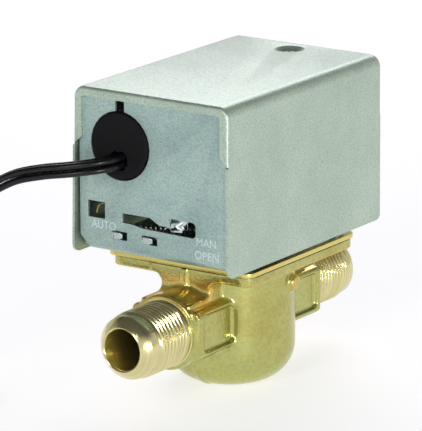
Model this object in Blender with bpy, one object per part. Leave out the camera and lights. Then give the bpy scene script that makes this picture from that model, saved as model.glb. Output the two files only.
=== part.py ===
"""A two-port motorised zone valve with flare ends, a spring-return head and a manual opener.

Blender units are metres. Lengths below are in millimetres and turned into metres where each piece
is placed. The origin is the middle of the foot under the bowl, +Z up, water flows along Y, and the
front, with the lever slot and the wire bushing, faces -Y.
"""

import math

import bmesh
import bpy
from mathutils import Matrix, Vector

MM = 0.001
CLEAR = 0.3  # gap between pieces that touch

# Driving dimensions, in millimetres
FLOW_Z = 24.0  # height of the flow axis over the foot
BORE_R = 6.76
THREAD_R = 11.11  # 7/8-14 UNF, for 5/8 inch flare nuts
FRONT_END = -61.5
REAR_END = 62.2
BOWL_R = 21.5
CAVITY_R = 18.0
FLANGE = (-30.2, 25.0, -25.4, 37.4)  # x from, x to, y from, y to
FLANGE_Z = (39.4, 42.6)
PLATE_Z = (42.9, 44.3)
COVER = (-34.8, 25.4, -38.3, 52.6)
COVER_Z = (45.6, 101.8)
SHEET = 0.9  # thickness of the steel sheet
LIP = 3.1  # width of the cover's returned lips
PANEL_Y = -37.4  # front face of the front panel
FRAME_Z = (47.8, 48.7)
STEM = (8.5, 4.0)
PINION = (-3.75, 25.22)
LEVER_PIVOT = (-4.7, -7.0)
MOTOR = (-4.7, 22.0)
MOTOR_R = 21.0
SWITCH = (13.0, -27.5)  # middle of the end switch
SWITCH_TOP = 55.2
HOLE = (-17.0, 83.6)  # bushing hole in the front panel, x and z
HOLE_R = 11.5
LEAD_R = 1.1
COVER_SCREW = (-5.5, 43.9)  # the screw in the cover's top dimple
SPRING_POST = (-26.0, -29.0)
LEAD_EXIT = (-17.5, 78.7)  # middle of the leads in the bushing, x and z
LEAD_OFFSETS = ((-1.25, 1.25), (1.25, 1.25), (-1.25, -1.25), (1.25, -1.25))
COIL_CENTRE = (-56.5, -89.5)
COIL_R = (8.9, 18.1)
COIL_TOP = 9.3
LEAD_ROUTE = (
    (-17.5, -32.0, 78.7),
    (-17.5, -37.0, 78.7),
    (-18.3, -41.5, 78.5),
    (-21.5, -46.0, 78.0),
    (-28.0, -50.2, 77.0),
    (-37.0, -53.6, 75.6),
    (-46.5, -56.6, 72.8),
    (-55.5, -60.2, 66.5),
    (-62.6, -65.0, 55.5),
    (-67.2, -70.6, 42.0),
    (-69.5, -76.4, 28.5),
    (-70.2, -81.8, 18.6),
    (-70.2, -87.0, 13.0),
)

COLOURS = {
    "brass": ((0.55, 0.47, 0.16), 1.0, 0.32),
    "steel": ((0.55, 0.60, 0.58), 1.0, 0.38),
    "bright": ((0.72, 0.72, 0.70), 1.0, 0.25),
    "black": ((0.02, 0.02, 0.022), 0.0, 0.55),
    "rubber": ((0.03, 0.03, 0.03), 0.0, 0.8),
    "nylon": ((0.75, 0.73, 0.65), 0.0, 0.45),
}


def finish(key):
    """The material of that name, made once."""
    if key in bpy.data.materials:
        return bpy.data.materials[key]
    colour, metallic, roughness = COLOURS[key]
    made = bpy.data.materials.new(key)
    made.use_nodes = True
    shader = made.node_tree.nodes["Principled BSDF"]
    shader.inputs["Base Color"].default_value = (*colour, 1.0)
    shader.inputs["Metallic"].default_value = metallic
    shader.inputs["Roughness"].default_value = roughness
    return made


def place(name, bm, key, pivot=(0, 0, 0)):
    """A bmesh in millimetres becomes an object in metres with its origin at pivot."""
    bmesh.ops.remove_doubles(bm, verts=bm.verts, dist=0.0005)
    bmesh.ops.recalc_face_normals(bm, faces=bm.faces)
    bmesh.ops.translate(bm, verts=bm.verts, vec=-Vector(pivot))
    bmesh.ops.scale(bm, verts=bm.verts, vec=(MM, MM, MM))
    mesh = bpy.data.meshes.new(name)
    bm.to_mesh(mesh)
    bm.free()
    mesh.shade_smooth()
    mesh.set_sharp_from_angle(angle=math.radians(35))
    mesh.materials.append(finish(key))
    made = bpy.data.objects.new(name, mesh)
    made.location = Vector(pivot) * MM
    bpy.context.scene.collection.objects.link(made)
    return made


def block(low, high):
    """A box between two corners."""
    bm = bmesh.new()
    bmesh.ops.create_cube(bm, size=1.0)
    size = Vector(high) - Vector(low)
    middle = (Vector(high) + Vector(low)) / 2
    bmesh.ops.scale(bm, verts=bm.verts, vec=size)
    bmesh.ops.translate(bm, verts=bm.verts, vec=middle)
    return bm


def prism(outline, low, high, axis="Z"):
    """A plane outline run straight from low to high along an axis.

    The outline's two numbers are x,y along Z, x,z along Y and y,z along X.
    """
    spots = {
        "Z": lambda a, b, c: (a, b, c),
        "Y": lambda a, b, c: (a, c, b),
        "X": lambda a, b, c: (c, a, b),
    }[axis]
    bm = bmesh.new()
    face = bm.faces.new([bm.verts.new(spots(a, b, low)) for a, b in outline])
    moved = bmesh.ops.extrude_face_region(bm, geom=[face])
    verts = [v for v in moved["geom"] if isinstance(v, bmesh.types.BMVert)]
    step = Vector(spots(0, 0, high)) - Vector(spots(0, 0, low))
    bmesh.ops.translate(bm, verts=verts, vec=step)
    return bm


def rounded(x0, x1, y0, y1, radius, steps=4):
    """A rectangle's outline with round corners."""
    outline = []
    corners = ((x1, y1, 0), (x0, y1, 90), (x0, y0, 180), (x1, y0, 270))
    for x, y, start in corners:
        cx = x - radius if x == x1 else x + radius
        cy = y - radius if y == y1 else y + radius
        outline += arc(cx, cy, radius, start, start + 90, steps)
    return outline


def arc(cx, cy, radius, start, end, steps):
    """Points on an arc, both ends included, angles in degrees."""
    turns = [math.radians(start + (end - start) * i / steps) for i in range(steps + 1)]
    return [(cx + radius * math.cos(t), cy + radius * math.sin(t)) for t in turns]


def turned(profile, centre=(0, 0, 0), axis="Z", steps=32):
    """A profile of (radius, height) points, open or closed on the axis, turned right round."""
    bm = bmesh.new()
    verts = [bm.verts.new((r, 0, h)) for r, h in profile]
    pairs = list(zip(verts, verts[1:]))
    if profile[0][0] > 0:
        pairs.append((verts[-1], verts[0]))
    edges = [bm.edges.new(pair) for pair in pairs]
    bmesh.ops.spin(
        bm,
        geom=verts + edges,
        cent=(0, 0, 0),
        axis=(0, 0, 1),
        angle=math.tau,
        steps=steps,
        use_merge=True,
    )
    bmesh.ops.remove_doubles(bm, verts=bm.verts, dist=0.0005)
    turns = {
        "Z": Matrix(),
        "Y": Matrix.Rotation(-math.pi / 2, 4, "X"),
        "X": Matrix.Rotation(math.pi / 2, 4, "Y"),
    }
    bmesh.ops.transform(bm, verts=bm.verts, matrix=Matrix.Translation(centre) @ turns[axis])
    return bm


def rod(radius, low, high, centre=(0, 0), axis="Z", steps=24):
    """A plain cylinder along an axis, its centre given in the plane across that axis."""
    a, b = centre
    spot = {"Z": (a, b, 0), "Y": (a, 0, b), "X": (0, a, b)}[axis]
    return turned([(0, low), (radius, low), (radius, high), (0, high)], spot, axis, steps)


def tool(name, bm):
    """A cutter or a shape to join, left out of the build."""
    made = place(name, bm, "black")
    made.hide_render = True
    made.display_type = "WIRE"
    return made


def boolean(target, operation, bm, label):
    """Cut or join one shape on the target with an exact Boolean."""
    step = target.modifiers.new(label, "BOOLEAN")
    step.operation = operation
    step.solver = "EXACT"
    step.object = tool(target.name + "_" + label, bm)


def wire(name, path, radius, key, sides=2):
    """A round wire along a path in millimetres, with filled caps."""
    curve = bpy.data.curves.new(name, "CURVE")
    curve.dimensions = "3D"
    curve.bevel_depth = radius * MM
    curve.bevel_resolution = sides
    curve.use_fill_caps = True
    spline = curve.splines.new("POLY")
    spline.points.add(len(path) - 1)
    for spot, point in zip(spline.points, path):
        spot.co = (*(Vector(point) * MM), 1.0)
    curve.materials.append(finish(key))
    made = bpy.data.objects.new(name, curve)
    bpy.context.scene.collection.objects.link(made)
    return made


def curved(points, steps):
    """A smooth curve through the points, with that many steps between two of them."""
    spots = [Vector(p) for p in points]
    spots = [2 * spots[0] - spots[1], *spots, 2 * spots[-1] - spots[-2]]
    path = []
    for a, b, c, d in zip(spots, spots[1:], spots[2:], spots[3:]):
        for i in range(steps):
            t = i / steps
            square = (2 * a - 5 * b + 4 * c - d) * t**2
            cube = (3 * b - a - 3 * c + d) * t**3
            path.append(0.5 * (2 * b + (c - a) * t + square + cube))
    return [*path, spots[-2]]


def make_body():
    """The brass casting: bowl, two flare ends with wrench blocks, neck and flange."""
    under = FLANGE_Z[0] + 1
    bowl = [(0, 0), (9, 0), *arc(9, 12.5, 12.5, -90, 0, 6)[1:], (BOWL_R, under), (0, under)]
    body = place("valve_body", turned(bowl, steps=40), "brass")
    barrel = [
        (0, FRONT_END),
        (7.3, FRONT_END),
        (10.4, FRONT_END + 4.2),
        (10.4, FRONT_END + 6.2),
        (THREAD_R, FRONT_END + 6.6),
        (THREAD_R, -39.5),
        (12.6, -38.6),
        (12.6, 37.0),
        (THREAD_R, 37.9),
        (THREAD_R, REAR_END - 6.6),
        (10.4, REAR_END - 6.2),
        (10.4, REAR_END - 4.2),
        (7.3, REAR_END),
        (0, REAR_END),
    ]
    boolean(body, "UNION", turned(barrel, (0, 0, FLOW_Z), "Y", 32), "barrel")
    boolean(body, "UNION", prism(rounded(-13.4, 13.4, 16.0, 32.2, 2.6, 3), -37.0, 35.0, "Y"), "blocks")
    boolean(body, "UNION", prism(rounded(-9.7, 9.7, 26.0, 34.0, 1.0, 1), -36.8, -20.0, "Y"), "saddle")
    half = 9.6
    web = [(half, 20.0), *arc(half + 4.0, 36.0, 4.0, 180, 90, 4), (half + 4.0, FLANGE_Z[1] - 0.5)]
    web += [(-a, b) for a, b in reversed(web)]
    boolean(body, "UNION", prism(web, FLANGE[2] + 0.2, 32.0, "Y"), "web")
    boolean(body, "UNION", prism(rounded(*FLANGE, 4.0), *FLANGE_Z), "flange")
    boolean(body, "DIFFERENCE", rod(CAVITY_R, 5.0, FLANGE_Z[1] + 1, steps=36), "cavity")
    boolean(body, "DIFFERENCE", rod(BORE_R, FRONT_END - 1, REAR_END + 1, (0, FLOW_Z), "Y", 28), "bore")
    groove = [(19.2, 41.0), (21.2, 41.0), (21.2, 43.5), (19.2, 43.5)]
    boolean(body, "DIFFERENCE", turned(groove, steps=36), "seal_groove")
    for number, (x, y) in enumerate(plate_screw_spots(), 1):
        boolean(body, "DIFFERENCE", rod(1.9, 30.0, 44.0, (x, y), steps=12), f"tapping_{number}")
    return body


def plate_screw_spots():
    """The four corners where screws hold the stem plate to the flange."""
    return [(-23.4, -20.6), (20.4, -20.6), (-23.4, 32.6), (20.4, 32.6)]


def make_seat():
    """The seat bush in the outlet, which the ball closes on."""
    profile = [(5.0, 14.7), (6.4, 14.7), (6.4, 24.0), (5.0, 24.0)]
    place("seat_bush", turned(profile, (0, 0, FLOW_Z), "Y", 28), "bright")


def make_stem_plate():
    """The brass plate on the flange that carries the stem, its screws and its seals."""
    x0, x1, y0, y1 = FLANGE
    high = PLATE_Z[1]
    outline = rounded(x0 - 1.1, x1 + 0.2, y0 - 0.6, y1 + 0.4, 3.0)
    plate = place("stem_plate", prism(outline, *PLATE_Z), "brass")
    boss_top = FRAME_Z[0] - CLEAR
    boss = [(2.9, 38.0), (6.5, 38.0), (6.5, boss_top), (2.9, boss_top)]
    boss += [(2.9, 44.4), (4.4, 44.4), (4.4, 41.0), (2.9, 41.0)]
    boolean(plate, "DIFFERENCE", rod(5.4, 40.0, 48.0, STEM, steps=24), "boss_seat")
    boolean(plate, "UNION", turned(boss, (*STEM, 0), steps=24), "stem_boss")
    for number, (x, y) in enumerate(post_spots(), 1):
        boolean(plate, "UNION", rod(3.4, 43.5, FRAME_Z[0] - CLEAR, (x, y), steps=16), f"post_{number}")
        boolean(plate, "DIFFERENCE", rod(1.9, 42.0, 50.0, (x, y), steps=12), f"post_hole_{number}")
    for number, (x, y) in enumerate(plate_screw_spots(), 1):
        boolean(plate, "DIFFERENCE", rod(1.9, 40.0, 47.0, (x, y), steps=12), f"hole_{number}")
        screw(f"plate_screw_{number}", (x, y), 39.6, high + CLEAR, 3.0, 1.6)
    seal = [(19.5, 41.3), (20.9, 41.3), (20.9, 42.6), (19.5, 42.6)]
    place("body_seal_ring", turned(seal, steps=36), "rubber")
    packing = [(2.9, 41.3), (4.1, 41.3), (4.1, 44.1), (2.9, 44.1)]
    place("stem_packing", turned(packing, (*STEM, 0), steps=24), "rubber")
    return plate


def post_spots():
    """Where the head's frame stands on the stem plate."""
    return [(-14.0, -20.0), (-14.0, 33.0)]


def screw(name, centre, tip, seat, head_r, shank_r, down=True, slot=True):
    """A pan-head screw along Z: its shank runs from tip to seat and its head sits past the seat."""
    height = head_r * 0.62
    if down:
        profile = [(0, tip), (shank_r, tip), (shank_r, seat), (head_r, seat), (head_r, seat + 0.6 * height)]
        profile += [(head_r * 0.7, seat + height), (0, seat + height)]
    else:
        profile = [(0, seat - height), (head_r * 0.7, seat - height), (head_r, seat - 0.6 * height)]
        profile += [(head_r, seat), (shank_r, seat), (shank_r, tip), (0, tip)]
    return place(name, turned(profile, (*centre, 0), steps=16), "bright")


def bar_outline(out, near, far, half):
    """A bar's outline seen from above, running out from the stem."""
    hub = Vector((*STEM, 0))
    side = Vector((-out.y, out.x, 0))
    corners = ((near, -half), (far, -half), (far, half), (near, half))
    spots = [hub + out * along + side * across for along, across in corners]
    return [(spot.x, spot.y) for spot in spots]


def make_stem():
    """The stem with its flats, the arm under it and the rubber ball on the arm."""
    x, y = STEM
    stem = [(0, 16.5), (2.0, 16.5), (2.5, 17.0), (2.5, 62.5), (2.0, 63.0), (0, 63.0)]
    made = place("valve_stem", turned(stem, (x, y, 0), steps=20), "bright", (x, y, FLOW_Z))
    reach = math.hypot(8.5, 5.8)
    rest = math.radians(145.7 + 44.0)
    ball = (x + reach * math.cos(rest), y + reach * math.sin(rest), FLOW_Z)
    out = Vector((math.cos(rest), math.sin(rest), 0))
    eye = rod(4.4, 20.5, 28.0, STEM, steps=20)
    arm = place("ball_arm", eye, "nylon", (x, y, FLOW_Z))
    boolean(arm, "UNION", prism(bar_outline(out, 2.0, 7.5, 1.6), 22.4, 25.6), "bar")
    boolean(arm, "DIFFERENCE", rod(2.8, 10.0, 40.0, STEM, steps=20), "eye")
    bm = bmesh.new()
    bmesh.ops.create_uvsphere(bm, u_segments=18, v_segments=10, radius=6.9)
    bmesh.ops.translate(bm, verts=bm.verts, vec=ball)
    plug = place("ball_plug", bm, "rubber", (x, y, FLOW_Z))
    boolean(plug, "DIFFERENCE", prism(bar_outline(out, 1.0, 7.8, 1.9), 22.1, 25.9), "socket")
    boolean(plug, "DIFFERENCE", rod(4.7, 15.0, 33.0, STEM, steps=20), "eye_room")
    return made


def slot_outline():
    """The manual lever's slot in the front panel, x and z, with its latching tooth on top."""
    outline = [(-16.4, 58.2), (-12.6, 58.1), (-8.4, 57.4)]
    outline += arc(10.8, 58.5, 1.5, -90, 0, 3) + arc(10.8, 60.7, 1.5, 0, 90, 3)
    outline += [(2.2, 62.3), (2.2, 59.35), (-1.85, 59.35), (-5.75, 61.4), (-16.4, 61.4)]
    return outline


def make_frame():
    """The head's bent steel frame: a floor, a front panel with its openings and a rear upstand."""
    x0, x1, y0, y1 = COVER
    left, right = x0 + 1.6, x1 - 1.3
    top = COVER_Z[1] - SHEET - CLEAR
    low, high = FRAME_Z
    thick = high - low
    side = [(PANEL_Y, top), (PANEL_Y, low + 1.6), *arc(PANEL_Y + 1.6, low + 1.6, 1.6, 180, 270, 4)[1:]]
    back = y1 - SHEET - CLEAR
    side += [*arc(back - 1.6, low + 1.6, 1.6, 270, 360, 4), (back, top - 3.0), (back - 12.0, top - 3.0)]
    side += [(back - 12.0, top - 3.0 - SHEET), (back - SHEET, top - 3.0 - SHEET)]
    side += arc(back - 1.6, low + 1.6, 1.6 - thick, 360, 270, 4)
    side += arc(PANEL_Y + 1.6, low + 1.6, 1.6 - thick, 270, 180, 4)
    side += [(PANEL_Y + SHEET, top)]
    frame = place("head_frame", prism(side, left, right, "X"), "steel")
    panel = (PANEL_Y - 3, PANEL_Y + 3)
    boolean(frame, "DIFFERENCE", rod(HOLE_R, *panel, HOLE, "Y", 32), "wire_hole")
    boolean(frame, "DIFFERENCE", block((-18.8, panel[0], 90.0), (-15.3, panel[1], top + 1)), "wire_notch")
    boolean(frame, "DIFFERENCE", block((-30.1, panel[0], 58.4), (-23.3, panel[1], 64.0)), "window")
    boolean(frame, "DIFFERENCE", prism(slot_outline(), *panel, "Y"), "lever_slot")
    for number, start in enumerate((-20.7, -8.85), 1):
        opening = block((start, panel[0], 52.3), (start + 6.1, panel[1], 55.1))
        boolean(frame, "DIFFERENCE", opening, f"tab_window_{number}")
    corner = [(left - 1, low - 1), (left + 5.2, low - 1), (left - 1, low + 5.2)]
    boolean(frame, "DIFFERENCE", prism(corner, *panel, "Y"), "clipped_corner")
    for label, edge, inward in (("left", left, 4.0), ("right", right, -4.0)):
        corner = [(edge - inward, top + 1.4), (edge + inward, top + 1.4), (edge - inward, top - 6.6)]
        boolean(frame, "DIFFERENCE", prism(corner, y0 - 1, y1 + 1, "Y"), f"top_{label}")
    boolean(frame, "DIFFERENCE", rod(5.0, low - 2, high + 2, STEM, steps=24), "stem_clearance")
    for number, (x, y) in enumerate(post_spots(), 1):
        boolean(frame, "DIFFERENCE", rod(1.9, low - 2, high + 2, (x, y), steps=12), f"screw_hole_{number}")
        screw(f"head_screw_{number}", (x, y), 44.0, high + CLEAR, 3.2, 1.6)
    for number, (x, y) in enumerate((LEVER_PIVOT, *switch_screws(), *motor_posts(), SPRING_POST), 1):
        boolean(frame, "DIFFERENCE", rod(1.3, low - 2, high + 2, (x, y), steps=10), f"rivet_hole_{number}")
    screw_y = back - 7.5
    hole = rod(1.7, top - 6, top + 1, (COVER_SCREW[0], screw_y), steps=12)
    boolean(frame, "DIFFERENCE", hole, "cover_screw_hole")
    return frame


def switch_screws():
    """The two screws of the end switch."""
    x, y = SWITCH
    return [(x - 4.8, y + 1.5), (x + 4.8, y + 1.5)]


def motor_posts():
    """The motor's two spacers."""
    x, y = MOTOR
    return [(x - 24.2, y - 6.0), (x + 24.2, y + 6.0)]


def make_cover():
    """The folded steel cover, with returned lips round the front and back openings."""
    x0, x1, y0, y1 = COVER
    low, high = COVER_Z
    crown = [*arc(x0 + 4, high - 4, 4, 180, 90, 4), *arc(x1 - 4, high - 4, 4, 90, 0, 4)]
    outer = [(x0, low), *crown, (x1, low)]
    inner = [(x1 - SHEET, low), *arc(x1 - 4, high - 4, 4 - SHEET, 0, 90, 4)]
    inner += [*arc(x0 + 4, high - 4, 4 - SHEET, 90, 180, 4), (x0 + SHEET, low)]
    cover = place("cover", prism(outer + inner, y0 + 1.0, y1 - 1.0, "Y"), "steel")
    lip_low = 82.0
    lip = [(x0, lip_low), *crown, (x1, lip_low)]
    lip += [(x1 - LIP, lip_low + LIP), *arc(x1 - 5, high - 5, 5 - LIP, 0, 90, 4)]
    lip += [*arc(x0 + 5, high - 5, 5 - LIP, 90, 180, 4), (x0 + LIP, lip_low + LIP)]
    boolean(cover, "UNION", prism(lip, y0, y0 + SHEET - 0.2, "Y"), "front_lip")
    boolean(cover, "UNION", prism(lip, y1 - SHEET + 0.2, y1, "Y"), "rear_lip")
    web = [(x0, lip_low), *crown, (x1, lip_low)]
    web += [(x1 - SHEET, lip_low), *arc(x1 - 4, high - 4, 4 - SHEET, 0, 90, 4)]
    web += [*arc(x0 + 4, high - 4, 4 - SHEET, 90, 180, 4), (x0 + SHEET, lip_low)]
    boolean(cover, "UNION", prism(web, y0, y0 + 2.0, "Y"), "front_bend")
    boolean(cover, "UNION", prism(web, y1 - 2.0, y1, "Y"), "rear_bend")
    dimple = [(0, high - 3.0), (3.0, high - 3.0), (4.6, high + 0.1), (0, high + 0.1)]
    cup = [(0, high - 3.8), (3.9, high - 3.8), (5.6, high - 0.4), (0, high - 0.4)]
    boolean(cover, "UNION", turned(cup, (*COVER_SCREW, 0), steps=24), "dimple_wall")
    boolean(cover, "DIFFERENCE", turned(dimple, (*COVER_SCREW, 0), steps=24), "dimple")
    boolean(cover, "DIFFERENCE", rod(1.8, high - 6, high + 1, COVER_SCREW, steps=12), "screw_hole")
    screw("cover_screw", COVER_SCREW, 90.0, high - 3.0 + CLEAR, 2.7, 1.4)
    return cover


def toothed(centre, root, tip, teeth, start=0.0, span=360.0):
    """The outline of a run of gear teeth about a centre."""
    outline = []
    pitch = span / teeth
    for i in range(teeth):
        base = start + pitch * i
        for part, radius in ((0.0, root), (0.28, root), (0.45, tip), (0.67, tip), (0.84, root)):
            turn = math.radians(base + pitch * part)
            outline.append((centre[0] + radius * math.cos(turn), centre[1] + radius * math.sin(turn)))
    return outline


def make_gears():
    """The toothed sector on the stem and the motor's pinion."""
    x, y = STEM
    low, high = 53.6, 56.2
    teeth = toothed(STEM, 20.7, 21.9, 15, 102.2, 75.0)
    outline = [*arc(x, y, 6.5, 175, 262, 5)]
    tail = math.radians(290)
    out = Vector((math.cos(tail), math.sin(tail)))
    side = Vector((-out.y, out.x))
    hub = Vector((x, y))
    outline += [tuple(hub + out * 18.0 - side * 3.0), tuple(hub + out * 18.0 + side * 3.0)]
    outline += [*arc(x, y, 6.5, 318, 460, 8), *teeth]
    sector = place("sector_gear", prism(outline, low, high), "bright", (x, y, low))
    boolean(sector, "UNION", rod(5.6, 50.0, 60.0, STEM, steps=20), "hub")
    boolean(sector, "DIFFERENCE", rod(2.8, 45.0, 66.0, STEM, steps=20), "hub_bore")
    eye = hub + out * 15.5
    boolean(sector, "DIFFERENCE", rod(1.1, 50.0, 60.0, (eye.x, eye.y), steps=10), "spring_eye")
    px, py = PINION
    pinion = prism(toothed(PINION, 2.2, 3.45, 10, 9.84), 51.5, 57.6)
    pinion = place("motor_pinion", pinion, "bright", (px, py, 51.5))
    boolean(pinion, "UNION", rod(1.5, 50.5, 68.0, PINION, steps=14), "shaft")
    return eye


def make_motor():
    """The flat synchronous motor with its mounting plate, spacers and screws."""
    x, y = MOTOR
    can = [(0, 65.0), (MOTOR_R, 65.0), (MOTOR_R, 86.0), (MOTOR_R - 1.5, 87.5), (0, 87.5)]
    made = place("motor_can", turned(can, (x, y, 0), steps=40), "steel")
    boolean(made, "DIFFERENCE", rod(2.2, 60.0, 68.4, PINION, steps=14), "shaft_hole")
    outline = arc(x, y, 22.0, -20, 50, 5) + arc(x, y, 22.0, 70, 230, 11) + arc(x, y, 22.0, 250, 335, 6)
    plate = place("motor_plate", prism(outline, 63.5, 64.7), "steel")
    for number, (px, py) in enumerate(motor_posts(), 1):
        boolean(plate, "UNION", rod(4.0, 63.5, 64.7, (px, py), steps=14), f"ear_{number}")
        bar = rounded(min(px, x), max(px, x), py - 3.0, py + 3.0, 1.0, 1)
        boolean(plate, "UNION", prism(bar, 63.5, 64.7), f"tongue_{number}")
        boolean(plate, "DIFFERENCE", rod(1.5, 60.0, 67.0, (px, py), steps=12), f"ear_hole_{number}")
        tube = [(1.5, FRAME_Z[1] + CLEAR), (2.8, FRAME_Z[1] + CLEAR), (2.8, 63.2), (1.5, 63.2)]
        place(f"motor_spacer_{number}", turned(tube, (px, py, 0), steps=16), "bright")
        screw(f"motor_screw_{number}", (px, py), 46.6, 64.7 + CLEAR, 2.6, 1.0)
    boolean(plate, "DIFFERENCE", rod(2.6, 60.0, 67.0, PINION, steps=14), "shaft_hole")
    return made


def make_switch():
    """The end switch, a small snap-action switch with a sprung button."""
    x, y = SWITCH
    body = block((x - 9.5, y - 4.0, FRAME_Z[1] + CLEAR), (x + 9.5, y + 4.0, SWITCH_TOP))
    made = place("switch_body", body, "black")
    for number, (px, py) in enumerate(switch_screws(), 1):
        boolean(made, "DIFFERENCE", rod(1.5, 40.0, 60.0, (px, py), steps=12), f"screw_hole_{number}")
        screw(f"switch_screw_{number}", (px, py), 46.6, SWITCH_TOP + CLEAR, 2.0, 1.0)
    boolean(made, "DIFFERENCE", rod(1.6, y, y + 6, (x - 1.0, 52.5), "Y", 12), "button_well")
    button = rod(1.2, y + 0.9, y + 5.2, (x - 1.0, 52.5), "Y", 12)
    place("switch_button", button, "nylon", (x - 1.0, y + 5.2, 52.5))


def make_lever():
    """The manual lever: a flat arm on a pivot post, with a lip through the slot and an upright tab."""
    x, y = LEVER_PIVOT
    rest = math.radians(-90 + 18)
    turn = Matrix.Rotation(rest, 4, "Z")
    arm = [*arc(0, 0, 4.4, -120, -70, 3), (10.0, -2.6), (28.4, -2.4), (28.4, 2.4), (10.0, 2.6)]
    arm += arc(0, 0, 4.4, 70, 180, 5)
    low, high = 58.1, 59.05
    bm = prism(arm, low, high)
    bmesh.ops.transform(bm, verts=bm.verts, matrix=Matrix.Translation((x, y, 0)) @ turn)
    lever = place("manual_lever", bm, "bright", (x, y, low))
    pieces = {
        "lip": block((27.5, -1.9, 58.45), (33.0, 1.9, 59.0)),
        "tab": block((27.5, -4.6, 58.45), (28.4, 2.4, 62.4)),
    }
    for label, shape in pieces.items():
        bmesh.ops.transform(shape, verts=shape.verts, matrix=Matrix.Translation((x, y, 0)) @ turn)
        boolean(lever, "UNION", shape, label)
    boolean(lever, "DIFFERENCE", rod(1.8, 50.0, 70.0, LEVER_PIVOT, steps=16), "pivot_hole")
    foot = FRAME_Z[1] + CLEAR
    post = [(0, 46.6), (1.0, 46.6), (1.0, foot), (2.6, foot), (2.6, low - CLEAR)]
    post += [(1.5, low - CLEAR), (1.5, high + CLEAR), (2.4, high + CLEAR), (2.4, 60.6), (0, 60.6)]
    place("lever_pivot", turned(post, (x, y, 0), steps=16), "bright")


def make_spring(eye):
    """The return spring, pulling the sector towards its post on the frame."""
    x, y = SPRING_POST
    foot = FRAME_Z[1] + CLEAR
    post = [(0, 46.6), (1.0, 46.6), (1.0, foot), (2.2, foot), (2.2, 56.6), (0, 56.6)]
    place("spring_post", turned(post, (x, y, 0), steps=14), "bright")
    start = Vector((x + 3.6, y + 0.8, 57.0 - 3.4))
    end = Vector((eye.x - 4.6, eye.y - 1.8, 57.0 - 3.4))
    run = end - start
    along = run.normalized()
    side = Vector((-along.y, along.x, 0))
    turns, per_turn, coil_r = 15, 8, 1.7
    points = []
    for i in range(turns * per_turn + 1):
        turn = math.tau * i / per_turn
        centre = start + run * (i / (turns * per_turn))
        points.append(centre + side * coil_r * math.cos(turn) + Vector((0, 0, coil_r * math.sin(turn))))
    wire("return_spring", points, 0.35, "bright", sides=0)


def make_bushing():
    """The black bushing that closes the wire hole, with one passage for the leads."""
    x, z = HOLE
    face = PANEL_Y
    profile = [
        (0, face - 0.5),
        (HOLE_R - 0.5, face - 0.5),
        (HOLE_R - 0.5, face + 1.2),
        (HOLE_R + 0.8, face + 1.2),
        (HOLE_R + 0.8, face + 3.0),
        (HOLE_R - 2.0, face + 3.0),
        (0, face + 3.0),
    ]
    bushing = place("wire_bushing", turned(profile, (x, 0, z), "Y", 32), "rubber")
    passage = rounded(LEAD_EXIT[0] - 3.4, LEAD_EXIT[0] + 3.4, LEAD_EXIT[1] - 3.2, LEAD_EXIT[1] + 3.2, 2.0, 3)
    boolean(bushing, "DIFFERENCE", prism(passage, face - 2, face + 5, "Y"), "passage")


def lead_path(number):
    """One lead's smooth path: the route's curve, moved to the lead's own place in the bundle."""
    middle = curved(LEAD_ROUTE, 2)
    across, above = LEAD_OFFSETS[number]
    path = []
    for i, spot in enumerate(middle):
        along = (middle[min(i + 1, len(middle) - 1)] - middle[max(i - 1, 0)]).normalized()
        side = Vector((0, 0, 1)).cross(along).normalized()
        path.append(spot + side * across + along.cross(side) * above)
    return path


def make_leads():
    """Four insulated leads, wound together in one coil for storage."""
    for number in range(len(LEAD_OFFSETS)):
        wire(f"lead_{number + 1}", lead_path(number), LEAD_R, "black")
    inside, outside = COIL_R
    ring = [(inside, 0.2), (outside, 0.2), (outside, COIL_TOP), (inside, COIL_TOP)]
    place("lead_coil", turned(ring, (*COIL_CENTRE, 0), steps=28), "black")


def main():
    for old in list(bpy.data.objects):
        bpy.data.objects.remove(old, do_unlink=True)
    make_body()
    make_seat()
    make_stem_plate()
    make_stem()
    make_frame()
    make_cover()
    eye = make_gears()
    make_motor()
    make_switch()
    make_lever()
    make_spring(eye)
    make_bushing()
    make_leads()


main()
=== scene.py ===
import math

import bmesh
import bpy
from mathutils import Matrix, Vector


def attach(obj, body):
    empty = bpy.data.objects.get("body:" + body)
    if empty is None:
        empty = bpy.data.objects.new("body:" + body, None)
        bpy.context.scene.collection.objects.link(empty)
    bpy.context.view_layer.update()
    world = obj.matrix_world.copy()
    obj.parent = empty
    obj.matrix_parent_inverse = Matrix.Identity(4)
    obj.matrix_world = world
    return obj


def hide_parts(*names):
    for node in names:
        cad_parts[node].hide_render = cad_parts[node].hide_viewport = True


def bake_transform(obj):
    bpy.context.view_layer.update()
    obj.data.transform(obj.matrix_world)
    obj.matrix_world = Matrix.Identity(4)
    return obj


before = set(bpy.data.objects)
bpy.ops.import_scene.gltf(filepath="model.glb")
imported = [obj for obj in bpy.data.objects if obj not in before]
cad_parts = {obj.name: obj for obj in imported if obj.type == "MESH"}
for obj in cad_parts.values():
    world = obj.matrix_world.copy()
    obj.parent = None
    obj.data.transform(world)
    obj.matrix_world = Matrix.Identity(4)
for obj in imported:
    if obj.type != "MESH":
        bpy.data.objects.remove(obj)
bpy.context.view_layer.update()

mm = 0.001  # pieces are modelled in millimetres and shown in metres
scene = bpy.context.scene


def link(obj):
    scene.collection.objects.link(obj)
    return obj


def showPiece(name, bm, material, body="housing", stands=(), sharp=35, fixNormals=True):
    # bmesh in mm -> object at the origin, riding its body
    bmesh.ops.remove_doubles(bm, verts=bm.verts, dist=0.0008)
    if fixNormals:
        bmesh.ops.recalc_face_normals(bm, faces=bm.faces)
    bmesh.ops.scale(bm, vec=(mm, mm, mm), verts=bm.verts)
    mesh = bpy.data.meshes.new(name)
    bm.to_mesh(mesh)
    bm.free()
    return addMesh(name, mesh, material, body, stands, sharp)


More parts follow.
